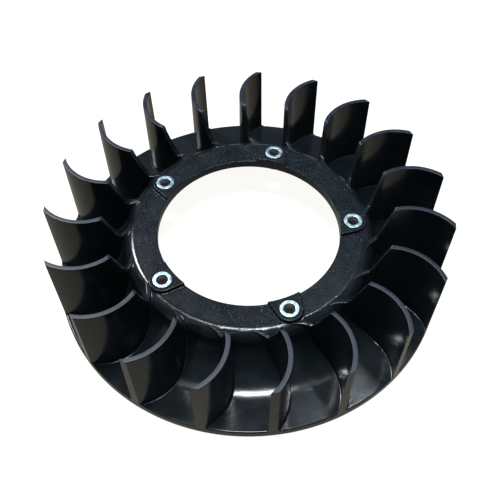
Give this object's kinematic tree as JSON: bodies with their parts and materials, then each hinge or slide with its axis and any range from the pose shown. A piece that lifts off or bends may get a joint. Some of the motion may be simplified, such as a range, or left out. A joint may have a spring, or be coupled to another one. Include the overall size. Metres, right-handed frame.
{
  "type": "flywheel cooling fan",
  "caption": "Black moulded cooling fan that bolts to a small engine's flywheel: flat hub ring with steel bolt sleeves, dished plate, and curved blades round an open bore.",
  "frame": {"origin": "on the fan's axis, in the plane of the rim's lower edge", "axes": "+Z is the fan's axis, from the flywheel side to the blade tips; +X points at the curve centre of blade_01"},
  "size_m": [0.24, 0.24, 0.055],
  "materials": {
    "fan_plastic": "moulded black glass-filled nylon, glossy in the air path and dull on the hub ring",
    "sleeve_steel": "bright zinc plating over machined steel"
  },
  "bodies": {
    "root": {"hub_ring": "fan_plastic", "hub_wall": "fan_plastic", "dish_floor": "fan_plastic", "rim_lip": "fan_plastic", "blade_01": "fan_plastic", "blade_02": "fan_plastic", "blade_03": "fan_plastic", "blade_04": "fan_plastic", "blade_05": "fan_plastic", "blade_06": "fan_plastic", "blade_07": "fan_plastic", "blade_08": "fan_plastic", "blade_09": "fan_plastic", "blade_10": "fan_plastic", "blade_11": "fan_plastic", "blade_12": "fan_plastic", "blade_13": "fan_plastic", "blade_14": "fan_plastic", "blade_15": "fan_plastic", "blade_16": "fan_plastic", "blade_17": "fan_plastic", "blade_18": "fan_plastic", "blade_19": "fan_plastic", "sleeve_1": "sleeve_steel", "sleeve_2": "sleeve_steel", "sleeve_3": "sleeve_steel", "sleeve_4": "sleeve_steel", "sleeve_5": "sleeve_steel"}
  },
  "joints": []
}
